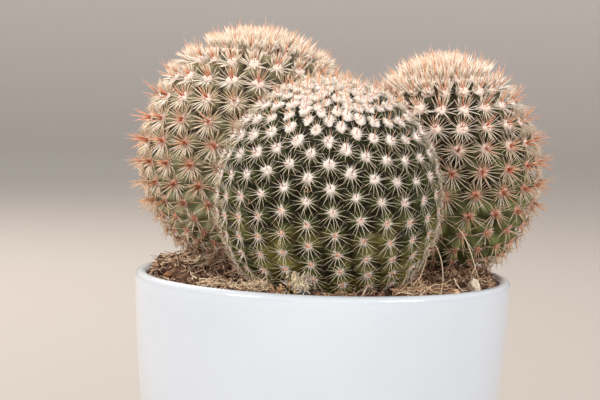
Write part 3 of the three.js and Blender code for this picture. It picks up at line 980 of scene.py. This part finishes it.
def soilTop(x, y):  # the ground with its waves, crumbs and grains, lowered under the heads
    relief = np.zeros_like(x)
    for size, height in soil["relief"]:
        relief += height * np.array([noise.noise(Vector((a / size, b / size, size))) for a, b in zip(x, y)])
    top = soilHeight(x, y) + relief * smooth(soilRadius(), soilRadius() - soil["reliefFade"], np.hypot(x, y))
    for head in heads.values():
        top = np.minimum(top, underside(head, x, y, -soil["hug"]))
        hole = np.hypot(x - head["middle"][0], y - head["middle"][1]) < head["rootRadius"] + soil["hug"]
        top = np.where(hole, rimHeight - growth["rootDepth"] - growth["gap"], top)
    return top


def makeSoil():
    edge, level, fine = soilRadius(), soil["level"], soil["fineFrom"]
    radii = [*np.arange(0, fine, soil["innerStep"]), *np.arange(fine, edge, soil["outerStep"]), edge]
    foot = pot["floor"] + pot["baseEdge"]
    floor = pot["floor"] + soil["wallGap"]
    line = [(r, level) for r in radii] + [(soilRadius(z), z) for z in np.linspace(level - 3, foot, 6)]
    line += [(soilRadius(foot) - pot["baseEdge"], floor), (0, floor)]
    points, triangles = takeOut(turned(line, soil["sides"]))
    top = np.abs(points[:, 2] - level) < 1e-3
    points[top, 2] = soilTop(points[top, 0], points[top, 1])
    addPiece("soil_bed", newMesh("soil_bed", points, triangles), pottingSoil(), "soil", "soil")


makeSoil()
print("soil made")

# Crumbs, shreds and rootlets on the soil
scatter = {
    "crumbs": 2600,
    "crumbSize": (0.3, 0.45),  # middle radius and spread of a log normal
    "largest": 1.5,
    "crumbShape": (0.35, 1.3),
    "crumbLift": (0.1, 0.8),
    "crumbTint": (0.65, 0.85),  # of a beta distribution, as the shreds' is
    "headroom": 1.4,  # free height that a crumb needs under a head
    "shreds": 900,
    "shredWidth": (0.12, 0.3),
    "shredLength": (1.2, 3.6),
    "shredBend": 0.5,
    "shredTint": (2.2, 1.6),
    "rootlets": 420,
    "rootletLength": (3, 8),
    "rootletWidth": (0.12, 0.22),
    "rootletLift": (0.2, 1.1),
    "rootletRise": 22,  # degrees of spread
    "rootletBend": 0.12,
    "heapLength": (0.6, 1.2),  # shares of the heap's own
    "heapWidth": (0.7, 1.2),
    "heapTintSpread": 0.15,
    "crumbColours": {
        0: "#2b1d18", 0.25: "#5c4336", 0.5: "#8d6b56", 0.75: "#bb9a80", 0.9: "#dcc4a8", 1: "#efe1ca",
    },
    "rootletColours": {0: "#6b4c3a", 0.35: "#a98266", 0.7: "#d8b694", 1: "#ecdcc0"},
}


# Random open places on the soil, as x and y.
def openPlaces(count, headroom, fromWall):
    found = np.zeros((0, 2))
    limit = soilRadius() - fromWall
    while len(found) < count:
        tried = draw.uniform(-limit, limit, (4 * count, 2))
        x, y = tried.T
        free = np.hypot(x, y) < limit
        ground = soilHeight(x, y)
        for head in heads.values():
            free &= underside(head, x, y, 0) > ground + headroom
        found = np.concatenate([found, tried[free]])
    return found[:count]


def keepFromWall(spots, spare):
    return spots * np.minimum(1, (soilRadius() - spare) / np.hypot(*spots.T))[:, None]


# Keeps loose bits within the wall and out of the heads and the ground, but for how far they may sink in.
def keepInPot(points, spare, intoHead=0.8, intoGround=0.2):
    points[:, :2] = keepFromWall(points[:, :2], spare)
    for head in heads.values():
        ways = points - head["middle"]
        distance = np.linalg.norm(ways, axis=1)
        ways = ways / distance[:, None]
        deep = np.maximum(0, reach(head, ways) - intoHead - distance)
        points += ways * deep[:, None]
    points[:, 2] = np.maximum(points[:, 2], soilHeight(*points[:, :2].T) - intoGround)
    return points


def turnedColumns(count, scale):  # random turns, each axis stretched by its own scale
    a, b = draw.normal(0, 1, (2, count, 3))
    first = unit(a)
    second = unit(np.cross(first, b))
    return np.stack([first, second, np.cross(first, second)], axis=2) * scale[:, None, :]


def makeCrumbs(material):
    middle, spread = scatter["crumbSize"]
    # name, count, form of the lumps, and their size and paleness against a crumb's
    for name, count, form, factor, paleness in (
        ("soil_crumbs", scatter["crumbs"], (1, 0.6, 1, 1.3), 1.0, 1.0),
        ("soil_lumps", scatter["crumbs"] // 10, (2, 0.7, 1, 1.5), 2.2, 0.7),
    ):
        templates = [lump(seed, *form) for seed in range(6)]
        size = np.minimum(factor * middle * np.exp(draw.normal(0, spread, count)), scatter["largest"])
        x, y = openPlaces(count, scatter["headroom"] * factor, 0.9 * factor).T
        lift = draw.uniform(*scatter["crumbLift"], count) * size
        origin = np.stack([x, y, soilTop(x, y) + lift], axis=1)
        columns = turnedColumns(count, size[:, None] * draw.uniform(*scatter["crumbShape"], (count, 3)))
        tint = paleness * draw.beta(*scatter["crumbTint"], count)
        addCopies(name, templates, origin, columns, 0 * origin, tint, None, material, "soil").shade_flat()

    # Shreds: short curled bits of root and bark that stick out of the ground at all angles
    count = scatter["shreds"]
    x, y = openPlaces(count, 0.8, 1.4).T
    width = draw.uniform(*scatter["shredWidth"], (2, count))
    size = np.stack([*width, draw.uniform(*scatter["shredLength"], count)], axis=1)
    columns = turnedColumns(count, size)
    columns[:, 2, 2] = np.abs(columns[:, 2, 2])
    origin = np.stack([x, y, soilTop(x, y)], axis=1)
    bend = draw.normal(0, scatter["shredBend"], (count, 3))
    tint = draw.beta(*scatter["shredTint"], count)
    clear = partial(keepInPot, spare=0.3)
    addCopies("soil_shreds", [strand(3, 0.4)], origin, columns, bend, tint, clear, material, "soil")


# Heaps of rootlets: x, y, spread, height, count, length, width, and how pale they are
rootletHeaps = [
    (27, -42, 7.0, 2.4, 90, 6.0, 0.27, 0.7),
    (32, -36, 6.0, 1.6, 50, 6.0, 0.24, 0.6),
    (-30, -39, 8.0, 1.6, 60, 5.5, 0.28, 0.85),
    (-18, -46, 5.0, 3.6, 90, 3.4, 0.22, 0.95),
    (-11, -48.5, 2.0, 1.4, 20, 2.6, 0.26, 0.5),
    (6, -49, 5.0, 1.2, 30, 3.4, 0.2, 0.6),
    (44, -12, 6.0, 1.6, 40, 6.0, 0.22, 0.7),
    (-43, -8, 9.0, 1.6, 80, 5.0, 0.24, 0.8),
]


def makeRootlets(material):
    templates = [strand(6, 0.45, *curl) for curl in ((1.5, 0.8), (2.5, 0.6), (2.0, 1.1), (0.8, 0.5))]
    count = scatter["rootlets"]
    place = openPlaces(count, 1.0, 2.0)
    length, width = (draw.uniform(*scatter[name], count) for name in ("rootletLength", "rootletWidth"))
    pale = draw.random(count)
    grown = [(place, length, width, pale, draw.uniform(*scatter["rootletLift"], count))]
    for x, y, spread, height, number, long, thick, tone in rootletHeaps:
        spots = keepFromWall(np.array([x, y]) + draw.normal(0, spread / 2, (number, 2)), 1.5)
        length = long * draw.uniform(*scatter["heapLength"], number)
        width = thick * draw.uniform(*scatter["heapWidth"], number)
        pale = np.clip(tone + draw.normal(0, scatter["heapTintSpread"], number), 0, 1)
        grown.append((spots, length, width, pale, height * draw.random(number)))
    place, length, width, pale, lift = (np.concatenate(parts) for parts in zip(*grown))
    count, length, width = len(place), length[:, None], width[:, None]
    heading = draw.uniform(0, 2 * math.pi, count)
    rise = np.radians(np.abs(draw.normal(0, scatter["rootletRise"], count)))
    way = np.stack([np.cos(heading) * np.cos(rise), np.sin(heading) * np.cos(rise), np.sin(rise)], axis=1)
    start = keepFromWall(place - way[:, :2] * length / 2, 0.8)
    origin = np.stack([*start.T, soilHeight(*start.T) + lift], axis=1)
    across = unit(np.cross(way, [0, 0, 1]))
    columns = columnsOf(across, way, width, width, length)
    aside = draw.normal(0, scatter["rootletBend"], (2, count))
    bend = np.stack([*aside, -np.abs(draw.normal(0, scatter["rootletBend"], count))], axis=1) * length
    clear = partial(keepInPot, spare=0.12)
    addCopies("soil_rootlets", templates, origin, columns, bend, pale, clear, material, "soil")


# Pale threads that hang at the right: width, then points from the rim's middle
threads = {
    "near": (
        0.2, (28.8, -28, 14), (30.9, -30.5, 12), (32.5, -33, 8), (32.9, -36, 3.2), (32.4, -39, 0.6),
        (32.2, -42, -0.2),
    ),
    "far": (0.24, (38.2, -14, 15.5), (40, -17.5, 13), (41.6, -21, 9), (42.8, -23.6, 5), (43.6, -24.8, 2.6)),
    "low": (0.2, (27.4, -31.5, 11), (28.2, -33, 8.5), (27.2, -34.6, 5), (26, -36.5, 2), (25.2, -38, -1)),
    "bent": (0.22, (26.4, -33, 8.6), (25.6, -35.2, 6.4), (24.2, -36.6, 3.6), (24.4, -38.4, 0)),
    "loop": (0.26, (36.4, -30, 3), (37.2, -32, 1.4), (38.2, -34, 0.4), (39.8, -35, 0.3)),
    "across": (0.22, (26.4, -44, -0.2), (28.6, -41, 1.2), (30.4, -38, 2), (33, -35, 1.8)),
    "loose": (0.18, (22.4, -37, 6.6), (22.9, -38.6, 4.6), (21.8, -39.8, 2), (23.6, -41.4, -0.6)),
}


# A smooth curve through the points, each stretch a cubic whose ends follow the neighbours.
def curveThrough(points, shares):
    points = np.array(points, dtype=float)
    ends = np.concatenate([[2 * points[0] - points[1]], points, [2 * points[-1] - points[-2]]])
    at = shares * (len(points) - 1)
    number = np.minimum(at.astype(int), len(points) - 2)
    u = (at - number)[:, None]
    a, b, c, d = (ends[number + i] for i in range(4))
    return 0.5 * (2 * b + (c - a) * u + (2 * a - 5 * b + 4 * c - d) * u**2 + (3 * b - a - 3 * c + d) * u**3)


def makeThreads(material):
    for name, (width, *route) in threads.items():
        shape, triangles = strand(24, 0.3)
        shares = (np.minimum(shape[:, 2] + step, 1) for step in (-0.02, 0, 0.02))
        before, here, after = (curveThrough(route, share) for share in shares)
        ahead = unit(after - before)
        across = unit(np.cross(ahead, [1, 0.3, 0]))
        points = here + rim + width * (across * shape[:, :1] + np.cross(ahead, across) * shape[:, 1:2])
        mesh = newMesh("thread_" + name, points, triangles)
        addValues(mesh, "tint", np.full(len(points), 0.9))
        addPiece("thread_" + name, mesh, material, "soil")


# Crumbs of peat, bark and grit: dry and dull, from near black to light tan.
dull = {"Roughness": 0.92, "Specular IOR Level": 0.2}
makeCrumbs(tintedMaterial("groundCrumbs", scatter["crumbColours"], dull, 0.5, 4.0, 0.6, 1.3, 0.7, 0.25))
# Dried rootlets: thin, woody threads, pale where the bark has worn off.
woody = {"Roughness": 0.8, "Specular IOR Level": 0.25}
fibres = tintedMaterial("driedRootlet", scatter["rootletColours"], woody, 2.5, 2.0, 0.7, 1.25)
makeRootlets(fibres)
makeThreads(fibres)
print("scatter made")

# Loose pieces that replace nodes and lie at their middles: length, width, thickness, turn and colours
litter = {
    "pebble_cream": (4.3, 3.5, 5.4, 20, ("#b8a48c", "#ecdfca")),
    "pebble_tan": (4.2, 3.0, 3.0, -15, ("#d2a47c", "#f0cda8")),
    "bark_chip_1": (5.2, 2.4, 1.6, 22, ("#a98457", "#dcc294")),
    "bark_chip_2": (3.4, 2.0, 1.5, 12, ("#9c774d", "#cdae80")),
    "bark_chip_3": (5.0, 2.4, 1.7, 35, ("#6f452c", "#b07f58")),
    "bark_chip_4": (3.2, 2.2, 1.6, -30, ("#744930", "#b6865c")),
    "bark_chip_5": (5.0, 3.0, 2.0, 55, ("#65422b", "#a5764f")),
}
bark = {"cuts": 7, "rounding": 0.16, "torn": 0.24, "fibres": (0.8, 3.2, 2.4), "ends": 0.18}
darkStone = {
    "place": (-5.2, -49.5, 0.2),  # from the rim's middle
    "size": (2.4, 1.5, 1.3),
    "turn": 8,
    "colours": ("#26282e", "#70737c"),
}


def looseStuff(name, colours, size, roughness, stretched=(1, 1, 1)):
    material, shader, add, coords = newMaterial(name, {"Roughness": roughness, "Specular IOR Level": 0.3})
    place = add("Mapping", {"Vector": coords, "Scale": stretched})
    vein = add("TexNoise", pattern(place, size, Detail=5.0))
    shade = add("ValToRGB", {"Fac": vein}, stops=dict(zip((0.32, 0.66), colours)))
    bump = add("Bump", {"Height": vein, "Strength": 0.5, "Distance": 0.2 * mm})
    fill(shader, {"Base Color": shade, "Normal": bump})
    return material


def middleOf(node):
    low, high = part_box(node)
    return np.array((low + high) / 2 / mm)


def addSeated(name, shape, middle, size, turn, *rest):
    points, triangles = shape
    points = points / np.abs(points).max(axis=0) * np.array(size) / 2
    points = points @ np.array(Matrix.Rotation(math.radians(turn), 3, "Z")).T
    addPiece(name, newMesh(name, points + middle, triangles), *rest)


def barkShape(number):
    bm = bmesh.new()
    bmesh.ops.create_cube(bm, size=2)
    bmesh.ops.subdivide_edges(bm, edges=bm.edges, cuts=bark["cuts"], use_grid_fill=True)
    for v in bm.verts:
        x, y, z = v.co
        spot = v.co * Vector(bark["fibres"]) + Vector((number * 5, 0, 0))
        v.co *= 1 - bark["rounding"] * (abs(x * y) + abs(y * z) + abs(z * x))
        v.co *= 1 + bark["torn"] * noise.noise(spot)
        v.co.x *= 1 + bark["ends"] * noise.noise(Vector((v.co.y * 4, v.co.z * 4, number)))
    bmesh.ops.smooth_vert(bm, verts=bm.verts, factor=0.3, use_axis_x=True, use_axis_y=True, use_axis_z=True)
    return takeOut(bm)


def makeLitter():
    for number, (node, (*size, turn, colours)) in enumerate(litter.items()):
        if node.startswith("pebble"):
            # Pebble: river stone, tumbled smooth, with soft veins.
            slot, shape = "pebble", lump(number, 4, 0.35, 1, 1.3)
            material = looseStuff("riverStone_" + node, colours, 1.6, 0.6, (1, 1, 2.2))
        else:
            # Bark chip: torn pine bark, with fibres along it and broken ends.
            slot, shape = "bark", barkShape(number)
            material = looseStuff("pineBark_" + node, colours, 0.7, 0.9)
        addSeated(node + "_fine", shape, middleOf(node), size, turn, material, slot, node)


# The withered flower: a tangle of thin dry petals and hairs round a knot
flower = {
    "node": "dried_flower",
    "petals": 170,
    "petalSize": (1.9, 0.26, 0.05),
    "spread": (1.2, 0.5, 1.3),
    "place": (1.6, 0, 2.7),  # from the node's middle
    "knot": 0.6,
    "sizes": (0.5, 1.1),
    "lie": (1, 0.7, 1),  # how far petals point along each axis, and how much they stand up
    "stand": (0, 0, 0.35),
    "curl": 0.5,
    "colours": ("#dcc3a0", "#f7eee0"),
    "knotColours": ("#8a6a44", "#c8a878"),
}

# Smaller dried bits: place from the rim's middle, petals, petal size, spread and colours
driedBits = {
    "petals_amber": ((-11.2, -47.9, 0.9), 9, (1.6, 0.7, 0.1), (1.1, 0.3, 0.2), ("#946a3c", "#eac698")),
    "petals_broad": ((-6.9, -51.0, 2.3), 7, (2.9, 1.5, 0.12), (0.7, 0.15, 0.4), ("#9c8560", "#efe0c2")),
    "petals_caught_high": ((-4.4, -57.6, 27.9), 4, (1.5, 0.6, 0.1), (0.3, 0.1, 0.3), ("#b98f5c", "#ecd3aa")),
    "petals_caught_left": ((-20.2, -50, 23.2), 3, (1.4, 0.5, 0.1), (0.3, 0.1, 0.3), ("#644436", "#bda088")),
}


def petalShape():
    bm = bmesh.new()
    bmesh.ops.create_cube(bm, size=1)
    cutUpright(bm, 3)
    for v in bm.verts:
        v.co.x *= 1.25 * math.sin(math.pi * min(0.92, 0.18 + 0.72 * v.co.z))
    return takeOut(bm)


# Withered petals: papery, with brown veins and a dull shine.
witheredPetal = partial(looseStuff, size=0.8, roughness=0.75)
petalTemplates = [petalShape()]


def makePetals(name, centre, count, size, spread, clear, *rest):
    long, wide, thin = size
    way = unit(draw.normal(0, 1, (count, 3)) * flower["lie"] + flower["stand"])
    across = unit(np.cross(way, draw.normal(0, 1, (count, 3))))
    size = draw.uniform(*flower["sizes"], count)[:, None]
    columns = columnsOf(across, way, wide * size, thin, long * size)
    bend = draw.normal(0, flower["curl"], (count, 3))
    origin = centre + draw.normal(0, 1, (count, 3)) * spread
    addCopies(name, petalTemplates, origin, columns, bend, draw.random(count), clear, *rest)


def makeFlower():
    node = flower["node"]
    centre = middleOf(node) + flower["place"]
    clear = partial(keepInPot, spare=0.3)
    petals = witheredPetal("witheredPetal", flower["colours"])
    own = [flower[name] for name in ("petals", "petalSize", "spread")]
    makePetals(node + "_petals", centre, *own, clear, petals, node, node)
    shape, triangles = lump(3, 3, 0.4, 1, 1.4)
    mesh = newMesh(node + "_knot", shape * flower["knot"] + centre, triangles)
    addPiece(node + "_knot", mesh, looseStuff("witheredKnot", flower["knotColours"], 0.5, 0.9), node)
    for name, (place, *own, colours) in driedBits.items():
        loose = place[2] < growth["rootDepth"]  # the others are caught among the spines
        petals = witheredPetal("witheredPetal_" + name, colours)
        makePetals(name, place + rim, *own, clear if loose else None, petals, node)


def makeStone():
    # Basalt grit: a dark volcanic stone, dull and a little rough.
    material = looseStuff("basaltGrit", darkStone["colours"], 1.2, 0.55, (1, 1, 2))
    middle = darkStone["place"] + rim
    shape = lump(5, 3, 0.35, 1, 1.3)
    addSeated("stone_dark", shape, middle, darkStone["size"], darkStone["turn"], material, "pebble")


makeLitter()
makeFlower()
makeStone()
print("litter made")
